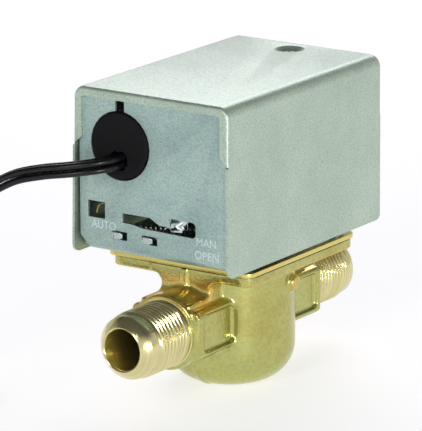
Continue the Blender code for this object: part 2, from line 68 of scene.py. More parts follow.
def addMesh(name, mesh, material, body="housing", stands=(), sharp=35):
    mesh.name = name
    mesh.shade_smooth()
    mesh.set_sharp_from_angle(angle=math.radians(sharp))
    mesh.materials.clear()
    mesh.materials.append(material)
    obj = link(bpy.data.objects.new(name, mesh))
    if body:
        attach(obj, body)
    if stands:
        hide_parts(*stands)
    return obj


def rawObject(name, bm):
    # a helper object in mm, thrown away later
    bmesh.ops.remove_doubles(bm, verts=bm.verts, dist=0.0008)
    bmesh.ops.recalc_face_normals(bm, faces=bm.faces)
    mesh = bpy.data.meshes.new(name)
    bm.to_mesh(mesh)
    bm.free()
    return link(bpy.data.objects.new(name, mesh))


def evaluated(obj):
    # the mesh with its modifiers applied; the object itself goes away
    graph = bpy.context.evaluated_depsgraph_get()
    graph.update()
    mesh = bpy.data.meshes.new_from_object(obj.evaluated_get(graph), depsgraph=graph)
    bpy.data.objects.remove(obj, do_unlink=True)
    return mesh


def combine(obj, operation, bm):
    # exact boolean with a bmesh, applied at once
    cutter = rawObject("cutter", bm)
    step = obj.modifiers.new("cut", "BOOLEAN")
    step.operation = operation
    step.solver = "EXACT"
    step.object = cutter
    bpy.context.view_layer.update()
    graph = bpy.context.evaluated_depsgraph_get()
    mesh = bpy.data.meshes.new_from_object(obj.evaluated_get(graph), depsgraph=graph)
    obj.modifiers.clear()
    obj.data = mesh
    bpy.data.objects.remove(cutter, do_unlink=True)
    return obj


def loop(points, plane="XZ", at=0.0):
    # a bmesh with one closed face loop of 2D points
    place = {
        "XY": lambda a, b: (a, b, at),
        "XZ": lambda a, b: (a, at, b),
        "YZ": lambda a, b: (at, a, b),
    }[plane]
    bm = bmesh.new()
    face = bm.faces.new([bm.verts.new(place(a, b)) for a, b in points])
    return bm, face


def slab(points, low, high, plane="XY"):
    # an outline pushed from low to high across its plane
    bm, face = loop(points, plane, low)
    push = {"XY": (0, 0, high - low), "XZ": (0, high - low, 0), "YZ": (high - low, 0, 0)}[plane]
    made = bmesh.ops.extrude_face_region(bm, geom=[face])
    verts = [v for v in made["geom"] if isinstance(v, bmesh.types.BMVert)]
    bmesh.ops.translate(bm, vec=push, verts=verts)
    return bm


def arcPoints(cx, cy, radius, start, end, steps):
    turns = [math.radians(start + (end - start) * i / steps) for i in range(steps + 1)]
    return [(cx + radius * math.cos(t), cy + radius * math.sin(t)) for t in turns]


def roundBox(x0, x1, y0, y1, radius, steps=6):
    points = []
    for cx, cy, start in (
        (x1 - radius, y1 - radius, 0),
        (x0 + radius, y1 - radius, 90),
        (x0 + radius, y0 + radius, 180),
        (x1 - radius, y0 + radius, 270),
    ):
        points += arcPoints(cx, cy, radius, start, start + 90, steps)
    return points


axisTurns = {
    "X": Matrix.Rotation(math.pi / 2, 4, "Y"),
    "Y": Matrix.Rotation(-math.pi / 2, 4, "X"),
    "Z": Matrix(),
}


def spun(profile, centre=(0, 0, 0), axis="Z", steps=64):
    # a (radius, height) profile turned round an axis
    bm = bmesh.new()
    verts = [bm.verts.new((r, 0, h)) for r, h in profile]
    edges = [bm.edges.new(pair) for pair in zip(verts, verts[1:])]
    if profile[0][0] > 0:
        edges.append(bm.edges.new((verts[-1], verts[0])))
    bmesh.ops.spin(
        bm, geom=verts + edges, cent=(0, 0, 0), axis=(0, 0, 1), angle=math.tau, steps=steps, use_merge=True
    )
    bmesh.ops.remove_doubles(bm, verts=bm.verts, dist=0.0005)
    bmesh.ops.transform(bm, matrix=Matrix.Translation(centre) @ axisTurns[axis], verts=bm.verts)
    return bm


def brick(low, high, bevel=0.0, segments=2):
    bm = bmesh.new()
    bmesh.ops.create_cube(bm, size=1.0)
    bmesh.ops.scale(bm, vec=Vector(high) - Vector(low), verts=bm.verts)
    bmesh.ops.translate(bm, vec=(Vector(high) + Vector(low)) / 2, verts=bm.verts)
    if bevel:
        bmesh.ops.bevel(
            bm, geom=list(bm.edges), offset=bevel, segments=segments, profile=0.5, affect="EDGES", material=-1
        )
    return bm


def addTo(bm, other):
    # put another bmesh's faces into this one
    spare = bpy.data.meshes.new("spare")
    other.to_mesh(spare)
    other.free()
    bm.from_mesh(spare)
    bpy.data.meshes.remove(spare)
    return bm


def bridged(bm, rings, closed=True, caps=True):
    # quads between rings of verts, with the two ends capped
    for first, second in zip(rings, rings[1:]):
        count = len(first) if closed else len(first) - 1
        for i in range(count):
            j = (i + 1) % len(first)
            bm.faces.new((first[i], first[j], second[j], second[i]))
    if caps:
        bm.faces.new(rings[0])
        bm.faces.new(rings[-1])
    return bm


def bevelled(bm, width, segments=2, angle=30):
    limit = math.radians(angle)
    edges = [e for e in bm.edges if e.is_manifold and e.calc_face_angle(0) > limit]
    bmesh.ops.bevel(
        bm,
        geom=edges,
        offset=width,
        segments=segments,
        profile=0.5,
        affect="EDGES",
        clamp_overlap=True,
        material=-1,
    )
    return bm


def cutMesh(bm, cutters, operation="DIFFERENCE"):
    # exact booleans on a bmesh in mm, given back as a bmesh
    obj = rawObject("shape", bm)
    for cutter in cutters:
        combine(obj, operation, cutter)
    made = bmesh.new()
    made.from_mesh(obj.data)
    bpy.data.objects.remove(obj, do_unlink=True)
    bmesh.ops.remove_doubles(made, verts=made.verts, dist=0.002)
    bmesh.ops.dissolve_limit(
        made, angle_limit=math.radians(1.0), use_dissolve_boundaries=False, verts=made.verts, edges=made.edges
    )
    return made


def drill(radius, low, high, centre, axis="Z", steps=40):
    a, b = centre
    spot = {"X": (0, a, b), "Y": (a, 0, b), "Z": (a, b, 0)}[axis]
    return spun([(0, low), (radius, low), (radius, high), (0, high)], spot, axis, steps)


def pieceName(nodeName):
    # head_frame -> headFrame
    first, *rest = nodeName.split("_")
    return first + "".join(part.title() for part in rest)


def softened(node, material, width=0.12, segments=2, angle=30, body="housing"):
    # a CAD node's shape with its edges broken, as a piece that stands for it
    bm = bmesh.new()
    bm.from_mesh(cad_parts[node].data)
    bmesh.ops.scale(bm, vec=(1 / mm, 1 / mm, 1 / mm), verts=bm.verts)
    bmesh.ops.remove_doubles(bm, verts=bm.verts, dist=0.002)
    bmesh.ops.dissolve_limit(
        bm, angle_limit=math.radians(1.0), use_dissolve_boundaries=False, verts=bm.verts, edges=bm.edges
    )
    bevelled(bm, width, segments, angle)
    return showPiece(pieceName(node), bm, material, body, (node,), fixNormals=False)


cameraSet = {
    "lens": 346.66,
    "place": (0.74015, -1.08574, 0.4080),
    "azimuth": 34.55,
    "elevation": 15.05,
    "roll": -0.3,
}


def makeCamera():
    data = bpy.data.cameras.new("camera")
    data.lens = cameraSet["lens"]
    data.sensor_width = 36.0
    data.clip_end = 20.0
    camera = link(bpy.data.objects.new("camera", data))
    turn = Matrix.Rotation(math.radians(cameraSet["azimuth"]), 4, "Z")
    turn = turn @ Matrix.Rotation(math.radians(90 - cameraSet["elevation"]), 4, "X")
    turn = turn @ Matrix.Rotation(math.radians(cameraSet["roll"]), 4, "Z")
    camera.matrix_world = Matrix.Translation(cameraSet["place"]) @ turn
    scene.camera = camera


white = (1.0, 1.0, 1.0)
coolWhite = (1.0, 0.95, 1.05)
lightSet = {
    "horizon": 0.66,
    "zenith": 0.10,
    "lamps": {
        "topLamp": {"place": (-0.55, 0.95, 0.9), "aim": 0.06, "size": 0.85, "power": 6.2, "tint": coolWhite},
        "frontLamp": {"place": (0.35, -1.6, 0.8), "aim": 0.05, "size": 0.50, "power": 6.5, "tint": white},
        "rightLamp": {"place": (1.3, -0.75, 0.16), "aim": 0.04, "size": 0.28, "power": 8.5, "tint": white},
    },
}


def makeLights():
    # a white surround that darkens overhead, with three soft lamps
    world = bpy.data.worlds.new("studio")
    world.use_nodes = True
    tree = world.node_tree
    back = tree.nodes["Background"]
    spot = tree.nodes.new("ShaderNodeTexCoord")
    height = tree.nodes.new("ShaderNodeSeparateXYZ")
    wire(tree, spot, "Generated", height, "Vector")
    bright, dark = lightSet["horizon"], lightSet["zenith"]
    shade = ramp(tree, height, "Z", [(0.0, (bright,) * 3), (0.30, (bright,) * 3), (0.62, (dark,) * 3)])
    wire(tree, shade, "Color", back, "Color")
    scene.world = world
    for name, values in lightSet["lamps"].items():
        data = bpy.data.lights.new(name, "AREA")
        data.shape = "SQUARE"
        data.size = values["size"]
        data.energy = values["power"]
        data.color = values["tint"]
        lamp = link(bpy.data.objects.new(name, data))
        aim = Vector((0, 0, values["aim"])) - Vector(values["place"])
        lamp.location = values["place"]
        lamp.rotation_euler = aim.to_track_quat("-Z", "Y").to_euler()
    scene.view_settings.view_transform = "Standard"


def newMaterial(name, colour, metallic, roughness):
    material = bpy.data.materials.new(name)
    material.use_nodes = True
    shader = material.node_tree.nodes["Principled BSDF"]
    shader.inputs["Base Color"].default_value = (*colour, 1.0)
    shader.inputs["Metallic"].default_value = metallic
    shader.inputs["Roughness"].default_value = roughness
    return material, material.node_tree, shader


def node(tree, kind, settings=(), **inputs):
    made = tree.nodes.new(kind)
    for key, value in settings:
        setattr(made, key, value)
    for key, value in inputs.items():
        made.inputs[key.replace("_", " ")].default_value = value
    return made


def wire(tree, source, output, target, socket):
    tree.links.new(source.outputs[output], target.inputs[socket])


def objectSpot(tree, scale=(1.0, 1.0, 1.0)):
    # object coordinates through a mapping
    spot = tree.nodes.new("ShaderNodeTexCoord")
    stretch = node(tree, "ShaderNodeMapping", Scale=scale)
    wire(tree, spot, "Object", stretch, "Vector")
    return stretch


def noiseAt(tree, spot, scale, detail=4.0, rough=0.55):
    made = node(tree, "ShaderNodeTexNoise", Scale=scale, Detail=detail, Roughness=rough)
    wire(tree, spot, "Vector", made, "Vector")
    return made


def ramp(tree, source, output, stops):
    made = tree.nodes.new("ShaderNodeValToRGB")
    wire(tree, source, output, made, "Fac")
    points = made.color_ramp.elements
    while len(points) < len(stops):
        points.new(0.5)
    for point, (place, colour) in zip(points, stops):
        point.position = place
        point.color = (*colour, 1.0)
    return made


def mixColours(tree, factor, first, second, blend="MIX", amount=None):
    made = node(tree, "ShaderNodeMix", [("data_type", "RGBA"), ("blend_type", blend)])
    if amount is not None:
        made.inputs[0].default_value = amount
    else:
        tree.links.new(factor, made.inputs[0])
    tree.links.new(first, made.inputs[6])
    tree.links.new(second, made.inputs[7])
    return made


def bump(tree, shader, height, strength, distance):
    made = node(tree, "ShaderNodeBump", Strength=strength, Distance=distance)
    tree.links.new(height, made.inputs["Height"])
    wire(tree, made, "Normal", shader, "Normal")
    return made


def zincSheet(name, cool, warm, grain=1.0):
    # plated steel sheet: cloudy, finely speckled, with small dark flecks
    material, tree, shader = newMaterial(name, cool, 0.62, 0.38)
    spot = objectSpot(tree)
    clouds = noiseAt(tree, spot, 55.0, 5.0, 0.6)
    base = ramp(tree, clouds, "Fac", [(0.35, cool), (0.68, warm)])
    grains = noiseAt(tree, objectSpot(tree, (1.0, 1.0, 1.6)), 1300.0 * grain, 3.0, 0.75)
    stops = [(0.36, (0.74, 0.77, 0.76)), (0.50, (0.98, 0.98, 0.98)), (0.66, (1.15, 1.15, 1.15))]
    speckle = ramp(tree, grains, "Fac", stops)
    speckled = mixColours(tree, None, base.outputs[0], speckle.outputs[0], "MULTIPLY", 1.0)
    spots = noiseAt(tree, objectSpot(tree, (1.0, 0.7, 1.3)), 820.0, 2.0, 0.6)
    flecks = ramp(tree, spots, "Fac", [(0.64, (1.0, 1.0, 1.0)), (0.74, (0.66, 0.70, 0.70))])
    marked = mixColours(tree, None, speckled.outputs[2], flecks.outputs[0], "MULTIPLY", 0.8)
    wire(tree, marked, 2, shader, "Base Color")
    gloss = ramp(tree, clouds, "Fac", [(0.3, (0.29, 0.29, 0.29)), (0.75, (0.41, 0.41, 0.41))])
    wire(tree, gloss, "Color", shader, "Roughness")
    bump(tree, shader, grains.outputs["Fac"], 0.25, 0.0004)
    return material


def castBrass():
    # forged brass: greenish yellow with a fine grain, and an orange-brown tint painted as shade on the barrel
    # top under the flange, where a point attribute says
    material, tree, shader = newMaterial("castBrass", (0.60, 0.55, 0.17), 0.90, 0.30)
    spot = objectSpot(tree)
    patches = noiseAt(tree, spot, 60.0, 4.0, 0.6)
    base = ramp(
        tree,
        patches,
        "Fac",
        [(0.30, (0.45, 0.40, 0.12)), (0.48, (0.48, 0.475, 0.16)), (0.70, (0.48, 0.515, 0.20))],
    )
    stain = node(tree, "ShaderNodeAttribute", [("attribute_name", "stain")])
    blotch = noiseAt(tree, spot, 160.0, 4.0, 0.6)
    amount = node(tree, "ShaderNodeMath", [("operation", "MULTIPLY"), ("use_clamp", True)])
    wire(tree, stain, "Fac", amount, 0)
    strength = ramp(tree, blotch, "Fac", [(0.35, (0.25, 0.25, 0.25)), (0.60, (0.95, 0.95, 0.95))])
    wire(tree, strength, "Color", amount, 1)
    # painted shade: the orange-brown of the barrel top in shade under the flange, mixed in by the attribute
    # and a blotchy noise
    ochre = node(tree, "ShaderNodeRGB")
    ochre.outputs[0].default_value = (0.78, 0.52, 0.14, 1.0)
    tinted = mixColours(tree, amount.outputs[0], base.outputs[0], ochre.outputs[0])
    grain = noiseAt(tree, spot, 900.0, 4.0, 0.6)
    darker = ramp(tree, grain, "Fac", [(0.34, (0.84, 0.82, 0.76)), (0.55, (1.0, 1.0, 1.0))])
    both = mixColours(tree, None, tinted.outputs[2], darker.outputs[0], "MULTIPLY", 0.9)
    wire(tree, both, 2, shader, "Base Color")
    gloss = ramp(tree, grain, "Fac", [(0.3, (0.25, 0.25, 0.25)), (0.7, (0.15, 0.15, 0.15))])
    wire(tree, gloss, "Color", shader, "Roughness")
    bump(tree, shader, grain.outputs["Fac"], 0.22, 0.0003)
    return material


def turnedBrass():
    # machined brass with fine lathe lines round the flow axis
    material, tree, shader = newMaterial("turnedBrass", (0.74, 0.67, 0.34), 0.97, 0.16)
    lines = noiseAt(tree, objectSpot(tree, (40.0, 5200.0, 40.0)), 1.0, 2.0, 0.5)
    tone = ramp(tree, lines, "Fac", [(0.3, (0.62, 0.55, 0.25)), (0.7, (0.80, 0.74, 0.42))])
    wire(tree, tone, "Color", shader, "Base Color")
    gloss = ramp(tree, lines, "Fac", [(0.3, (0.12, 0.12, 0.12)), (0.7, (0.24, 0.24, 0.24))])
    wire(tree, gloss, "Color", shader, "Roughness")
    bump(tree, shader, lines.outputs["Fac"], 0.18, 0.0001)
    return material


def plainMetal(name, colour, roughness, lineScale=1200.0):
    # bright metal with faint tool marks
    material, tree, shader = newMaterial(name, colour, 1.0, roughness)
    marks = noiseAt(tree, objectSpot(tree), lineScale, 3.0, 0.6)
    dark = tuple(0.86 * c for c in colour)
    tone = ramp(tree, marks, "Fac", [(0.3, dark), (0.7, colour)])
    wire(tree, tone, "Color", shader, "Base Color")
    low, high = 0.8 * roughness, 1.3 * roughness
    gloss = ramp(tree, marks, "Fac", [(0.3, (low,) * 3), (0.7, (high,) * 3)])
    wire(tree, gloss, "Color", shader, "Roughness")
    bump(tree, shader, marks.outputs["Fac"], 0.08, 0.0002)
    return material


def dullPlastic(name, colour, roughness, grainScale, strength, shine=0.5):
    # plastic or rubber with a fine moulded grain
    material, tree, shader = newMaterial(name, colour, 0.0, roughness)
    shader.inputs["Specular IOR Level"].default_value = shine
    grain = noiseAt(tree, objectSpot(tree), grainScale, 3.0, 0.6)
    light = tuple(min(1.0, 1.25 * c + 0.002) for c in colour)
    tone = ramp(tree, grain, "Fac", [(0.35, colour), (0.75, light)])
    wire(tree, tone, "Color", shader, "Base Color")
    low, high = 0.85 * roughness, min(1.0, 1.2 * roughness)
    gloss = ramp(tree, grain, "Fac", [(0.3, (low,) * 3), (0.7, (high,) * 3)])
    wire(tree, gloss, "Color", shader, "Roughness")
    bump(tree, shader, grain.outputs["Fac"], strength, 0.0002)
    return material


makeCamera()
makeLights()
print("camera and lights ready")

coverSteel = zincSheet("coverSteel", (0.41, 0.51, 0.42), (0.50, 0.60, 0.50))
frameSteel = zincSheet("frameSteel", (0.33, 0.46, 0.44), (0.42, 0.54, 0.50), 1.2)
brassCast = castBrass()
brassTurned = turnedBrass()
brassPlate = plainMetal("brassPlate", (0.80, 0.67, 0.22), 0.30)
steelBright = plainMetal("steelBright", (0.76, 0.77, 0.75), 0.24)
steelMotor = plainMetal("steelMotor", (0.36, 0.37, 0.37), 0.38)
steelTab = plainMetal("steelTab", (0.50, 0.57, 0.56), 0.14)
# painted shade: a darker copy of the bright steel for the lever, which lies in the dim slot behind the panel
steelLeverShaded = plainMetal("steelLeverShaded", (0.60, 0.66, 0.65), 0.22, 500.0)
copperStrand = plainMetal("copperStrand", (0.80, 0.45, 0.28), 0.30)
blackWire = dullPlastic("blackWire", (0.004, 0.004, 0.005), 0.26, 700.0, 0.04, 0.32)
blackRubber = dullPlastic("blackRubber", (0.004, 0.004, 0.005), 0.62, 900.0, 0.15, 0.12)
blackMoulded = dullPlastic("blackMoulded", (0.015, 0.015, 0.017), 0.40, 800.0, 0.08, 0.3)
nylonPale = dullPlastic("nylonPale", (0.72, 0.70, 0.60), 0.45, 500.0, 0.06)
printWhite = dullPlastic("printWhite", (0.50, 0.60, 0.62), 0.60, 2600.0, 0.05)
print("materials ready")


leadSet = {
    "radius": 0.0011,
    "offset": 0.00125,
    "coilOffset": 0.00112,
    "coilCentre": (-0.0565, -0.0895),
    "outer": 0.01575,
    "inner": 0.01125,
    "upper": 0.0069,
    "lower": 0.0024,
    "turns": 3.93,
    "pointsPerTurn": 26,
    "bareEnd": 0.007,
}
leadRoute = (
    (-0.0175, -0.0320, 0.0787),
    (-0.0175, -0.0370, 0.0787),
    (-0.0183, -0.0415, 0.0785),
    (-0.0215, -0.0460, 0.0780),
    (-0.0280, -0.0502, 0.0770),
    (-0.0370, -0.0536, 0.0756),
    (-0.0465, -0.0566, 0.0728),
    (-0.0555, -0.0602, 0.0665),
    (-0.0626, -0.0650, 0.0555),
    (-0.0672, -0.0706, 0.0420),
    (-0.0695, -0.0764, 0.0285),
    (-0.0702, -0.0818, 0.0186),
    (-0.0702, -0.0870, 0.0130),
)


def smoothLine(points, steps):
    spots = [Vector(p) for p in points]
    spots = [2 * spots[0] - spots[1], *spots, 2 * spots[-1] - spots[-2]]
    line = []
    for a, b, c, d in zip(spots, spots[1:], spots[2:], spots[3:]):
        for i in range(steps):
            t = i / steps
            second = 2 * a - 5 * b + 4 * c - d
            third = 3 * b - a - 3 * c + d
            line.append(0.5 * (2 * b + (c - a) * t + second * t**2 + third * t**3))
    return [*line, spots[-2]]


def ease(value, start, end):
    t = min(1.0, max(0.0, (value - start) / (end - start)))
    return t * t * (3 - 2 * t)


def coilLine():
    # the bundle's middle, wound twice round the top and twice round the bottom of the coil
    s = leadSet
    wide = s["outer"] - s["inner"]
    tall = s["upper"] - s["lower"]
    x, y = s["coilCentre"]
    line = []
    count = int(s["turns"] * s["pointsPerTurn"])
    for i in range(2, count + 1):
        p = i / s["pointsPerTurn"]
        radius = s["outer"] - wide * (ease(p, 0.72, 0.98) - ease(p, 2.72, 2.98))
        radius -= 0.0018 * (1 - ease(p, 0.0, 0.2))
        z = s["upper"] - tall * ease(p, 1.75, 1.98) + 0.0061 * (1 - ease(p, -0.06, 0.2))
        turn = math.pi + math.tau * p
        line.append(Vector((x + radius * math.cos(turn), y + radius * math.sin(turn), z)))
    return line


def leadLine(number):
    # one lead's own line in the bundle of four
    across, above = ((-1, 1), (1, 1), (-1, -1), (1, -1))[number]
    loose = smoothLine(leadRoute, 5)
    middle = loose + coilLine()
    wide = leadSet["offset"]
    line = []
    for i, spot in enumerate(middle):
        along = (middle[min(i + 1, len(middle) - 1)] - middle[max(i - 1, 0)]).normalized()
        side = Vector((0, 0, 1)).cross(along).normalized()
        gap = wide + (leadSet["coilOffset"] - wide) * ease(i, len(loose) - 20, len(loose))
        line.append(spot + side * across * gap + along.cross(side) * above * gap)
    return line


def lineLength(line):
    return sum((b - a).length for a, b in zip(line, line[1:]))


def makeLeads():
    for number in range(4):
        line = leadLine(number)
        name = f"leadWire{number + 1}"
        curve = bpy.data.curves.new(name, "CURVE")
        curve.dimensions = "3D"
        curve.bevel_depth = leadSet["radius"]
        curve.bevel_resolution = 3
        curve.use_fill_caps = True
        spline = curve.splines.new("POLY")
        spline.points.add(len(line) - 1)
        for spot, point in zip(spline.points, line):
            spot.co = (*point, 1.0)
        spline.use_smooth = True
        curve.materials.append(blackWire)
        obj = link(bpy.data.objects.new(name, curve))
        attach(obj, "housing")
        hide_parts(f"lead_{number + 1}", "lead_coil")
        strands = bareStrands(number, line)
        print(name, round(lineLength(line), 4))


eighths = [math.tau * i / 8 for i in range(8)]


def bareStrands(number, line):
    # seven twisted copper strands at the stripped end
    tip = line[-1] / mm
    along = (line[-1] - line[-3]).normalized()
    side = Vector((0, 0, 1)).cross(along).normalized()
    upward = along.cross(side)
    turn = Matrix((side, upward, along)).transposed().to_4x4()
    bare = leadSet["bareEnd"] / mm
    bm = bmesh.new()
    for strand in range(7):
        spread = 0.0 if strand == 6 else 0.38
        rings = []
        for step in range(9):
            angle = math.tau * strand / 6 + 0.22 * step
            bend = 0.45 * bare * (step / 8) ** 2
            across = bend + spread * math.cos(angle)
            middle = Vector((across, spread * math.sin(angle), bare * step / 8 - 0.4))
            spots = [middle + Vector((0.18 * math.cos(t), 0.18 * math.sin(t), 0)) for t in eighths]
            rings.append([bm.verts.new(tip + turn @ spot) for spot in spots])
        bridged(bm, rings)
    return showPiece(f"leadStrands{number + 1}", bm, copperStrand)


makeLeads()
print("leads ready")


flowHeight = 24.0  # the flow axis above the foot
castingSet = {
    "voxel": 0.5,
    "smoothing": 7,
    "waterWay": 7.6,
    "recessFloor": 11.7,
    "recesses": ((-33.9, -16.2, 17.9, 30.6, 2.4), (14.0, 32.8, 17.4, 29.6, 2.0)),
    "screwHole": 2.0,
    "flange": (-30.2, 25.0, -25.4, 37.4),
    "flangeZ": (39.4, 42.5),
    "bowlRadius": 21.5,
    "barrelRadius": 12.6,
    "webHalf": 9.6,
    "webFront": -25.6,
    "webRear": 32.0,
    "screwSpots": ((-23.4, -20.6), (20.4, -20.6), (-23.4, 32.6), (20.4, 32.6)),
}


def webOutline():
    # the web's front view, flaring into the flange on both sides
    half = castingSet["webHalf"]
    flare = arcPoints(half + 4.0, 36.0, 4.0, 180, 90, 6)
    right = [(half, 20.0), (half, 36.0), *flare[1:], (half + 4.0, 42.6)]
    return right + [(-x, z) for x, z in reversed(right)]


def bowlProfile(grow=0.0):
    radius = castingSet["bowlRadius"]
    corner = arcPoints(radius - 12.5, 12.5, 12.5 + grow, -90, 0, 12)
    return [(0, -grow), *corner, (radius + grow, 40.8)]


def saddleOutline():
    # side view of the fillet between the web's front and the barrel's top
    front = castingSet["webFront"]
    fillet = arcPoints(front - 2.2, 36.6, 2.2, -90, 0, 6)
    return [(-18, 28), (-37.0, 28), (-37.0, 34.3), *fillet, (front, 41.6), (-18, 41.6)]


def makeCasting():
    s = castingSet
    radius = s["barrelRadius"]
    neck = radius - 0.5
    barrel = [(0, -38.2), (neck, -38.2), (radius, -37.6), (radius, 36.0), (neck, 36.6), (0, 36.6)]
    block = rawObject("castingRaw", spun(barrel, (0, 0, flowHeight), "Y", 72))
    machined = s["flangeZ"][1]
    top = machined + 1.0  # stock that is faced off at the end
    joined = [
        slab(roundBox(-13.4, 13.4, 16.0, 32.2, 2.6), -37.2, -8.0, "XZ"),
        slab(roundBox(-13.2, 13.2, 15.2, 31.4, 2.0), 8.0, 34.8, "XZ"),
        spun([*bowlProfile(), (0, 40.8)], steps=88),
        slab(webOutline(), s["webFront"], -4.0, "XZ"),
        slab(webOutline(), 4.0, s["webRear"], "XZ"),
        slab(saddleOutline(), -9.7, 9.7, "YZ"),
        slab(roundBox(*s["flange"], 4.0), s["flangeZ"][0], top),
        brick((-0.9, s["webFront"] - 1.1, 34.0), (0.9, s["webFront"] + 1, top)),
    ]
    for shape in joined:
        combine(block, "UNION", shape)
    for side in (-1, 1):
        inner, outer = sorted((side * s["recessFloor"], side * 25.0))
        for recess in s["recesses"]:
            combine(block, "DIFFERENCE", slab(roundBox(*recess), inner, outer, "YZ"))
    seam = [(r, z) for r, z in bowlProfile(0.4) if z < 20] + [(21.9, 26.0)]
    seam = [(-r, z) for r, z in reversed(seam)] + seam
    combine(block, "UNION", slab([(r, max(z, 0.0)) for r, z in seam if z > -0.35], -0.6, 0.6, "YZ"))
    lug = spun([(0, 17.0), (2.6, 17.0), (2.6, 22.6), (2.1, 23.1), (0, 23.1)], (0, 5.0, 34.2), "X", 32)
    combine(block, "UNION", lug)
    for spot in s["screwSpots"]:
        combine(block, "DIFFERENCE", drill(s["screwHole"], 33.0, 46.0, spot, steps=24))
    walls = [brick((sideX - 7.5, -22.0, 3.0), (sideX + 7.5, -8.8, 46.0)) for sideX in (-17.2, 17.2)]
    inside = spun([(0, 5.0), (17.0, 5.0), (18.0, 6.0), (18.0, 46.0), (0, 46.0)], steps=72)
    combine(block, "DIFFERENCE", cutMesh(inside, walls))
    combine(block, "DIFFERENCE", drill(s["waterWay"], -60.0, 60.0, (0, flowHeight), "Y", 48))
    remesh = block.modifiers.new("voxels", "REMESH")
    remesh.mode = "VOXEL"
    remesh.voxel_size = s["voxel"]
    smooth = block.modifiers.new("rounding", "SMOOTH")
    smooth.factor = 0.5
    smooth.iterations = s["smoothing"]
    rough = evaluated(block)
    bm = bmesh.new()
    bm.from_mesh(rough)
    cut = bmesh.ops.bisect_plane(
        bm,
        geom=[*bm.verts, *bm.edges, *bm.faces],
        plane_co=(0, 0, machined),
        plane_no=(0, 0, 1),
        clear_outer=True,
    )
    rim = [e for e in cut["geom_cut"] if isinstance(e, bmesh.types.BMEdge)]
    bmesh.ops.triangle_fill(bm, edges=rim, use_beauty=True, normal=(0, 0, 1))
    bmesh.ops.recalc_face_normals(bm, faces=bm.faces)
    mesh = bpy.data.meshes.new("casting")
    bm.to_mesh(mesh)
    bm.free()
    stain = mesh.attributes.new("stain", "FLOAT", "POINT")  # painted shade: orange-brown tint on the barrel top under the flange, read by castBrass
    for i, vert in enumerate(mesh.vertices):
        x, y, z = vert.co
        top = ease(z, 29.0, 34.0) * (1 - ease(z, 38.0, 42.0))
        near = 1 - ease(math.hypot(x, y), 24.0, 21.0)
        stain.data[i].value = max(0.0, top * near)
    mesh.transform(Matrix.Scale(mm, 4))
    addMesh("valveCasting", mesh, brassCast, stands=("valve_body",), sharp=60)


threadSet = {
    "pitch": 1.814,
    "depth": 1.05,
    "crest": 11.11,
    "bore": 6.76,
    "nose": 10.4,
    "collar": 12.2,
    "around": 120,
    "front": {"end": -61.5, "thread": (-54.9, -39.6), "shoulder": -38.0, "root": -31.0},
    "rear": {"end": 62.2, "thread": (55.6, 37.9), "shoulder": 36.4, "root": 30.0},
}


def threadDrop(phase):
    # 0 on the crest, 1 in the root, flat a little at both
    u = abs(phase % 1.0 - 0.5) * 2
    return min(1.0, max(0.0, (u - 0.14) / 0.66))


def makeFlareEnd(name, values):
    s = threadSet
    end = values["end"]
    way = 1 if end < 0 else -1
    first, last = values["thread"]
    run = abs(last - first)
    nose, collar, bore = s["nose"], s["collar"], s["bore"]
    outside = [(0.0, 7.35), (0.12, 7.6), (2.9, 10.2), (3.3, nose), (5.6, nose), (6.0, 10.35)]
    steps = int(run / 0.15)
    start = abs(first - end)
    outside += [(start + run * i / steps, None) for i in range(steps + 1)]
    shoulder = abs(values["shoulder"] - end)
    outside += [(shoulder - 0.3, 11.0), (shoulder, 11.9), (shoulder + 0.3, collar), (shoulder + 1.2, collar)]
    deep = abs(values["root"] - end)
    inside = [(deep, 7.9), (deep, bore), (0.7, bore), (0.15, 7.05)]
    bm = bmesh.new()
    rings = []
    for reach, radius in outside + inside:
        ring = []
        for k in range(s["around"]):
            turn = math.tau * k / s["around"]
            r = radius
            if radius is None:
                reached = reach - start
                fade = ease(reached, -0.1, 1.6) * (1 - ease(reached, run - 1.3, run))
                r = s["crest"] - s["depth"] * threadDrop(reach / s["pitch"] - way * k / s["around"]) * fade
                r -= 0.75 * (1 - ease(reached, 0.0, 0.7))
            spot = (r * math.cos(turn), end + way * reach, flowHeight + r * math.sin(turn))
            ring.append(bm.verts.new(spot))
        rings.append(ring)
    bridged(bm, [*rings, rings[0]], caps=False)
    showPiece(name, bm, brassTurned, stands=("valve_body",), sharp=50)


def makeSeat():
    profile = [(5.0, 15.0), (5.3, 14.7), (6.1, 14.7), (6.4, 15.0)]
    profile += [(6.4, 23.8), (6.2, 24.0), (5.2, 24.0), (5.0, 23.8)]
    bm = spun(profile, (0, 0, flowHeight), "Y", 64)
    showPiece("seatBush", bm, steelBright, stands=("seat_bush",))


makeCasting()
makeFlareEnd("flareEndFront", threadSet["front"])
makeFlareEnd("flareEndRear", threadSet["rear"])
makeSeat()
print("casting and flare ends ready")


plateSet = {
    "outline": (-31.3, 25.2, -26.0, 37.8),
    "height": (42.9, 44.3),
    "corner": 3.2,
    "posts": ((-14.0, -20.0), (-14.0, 33.0)),
    "stem": (8.5, 4.0),
}


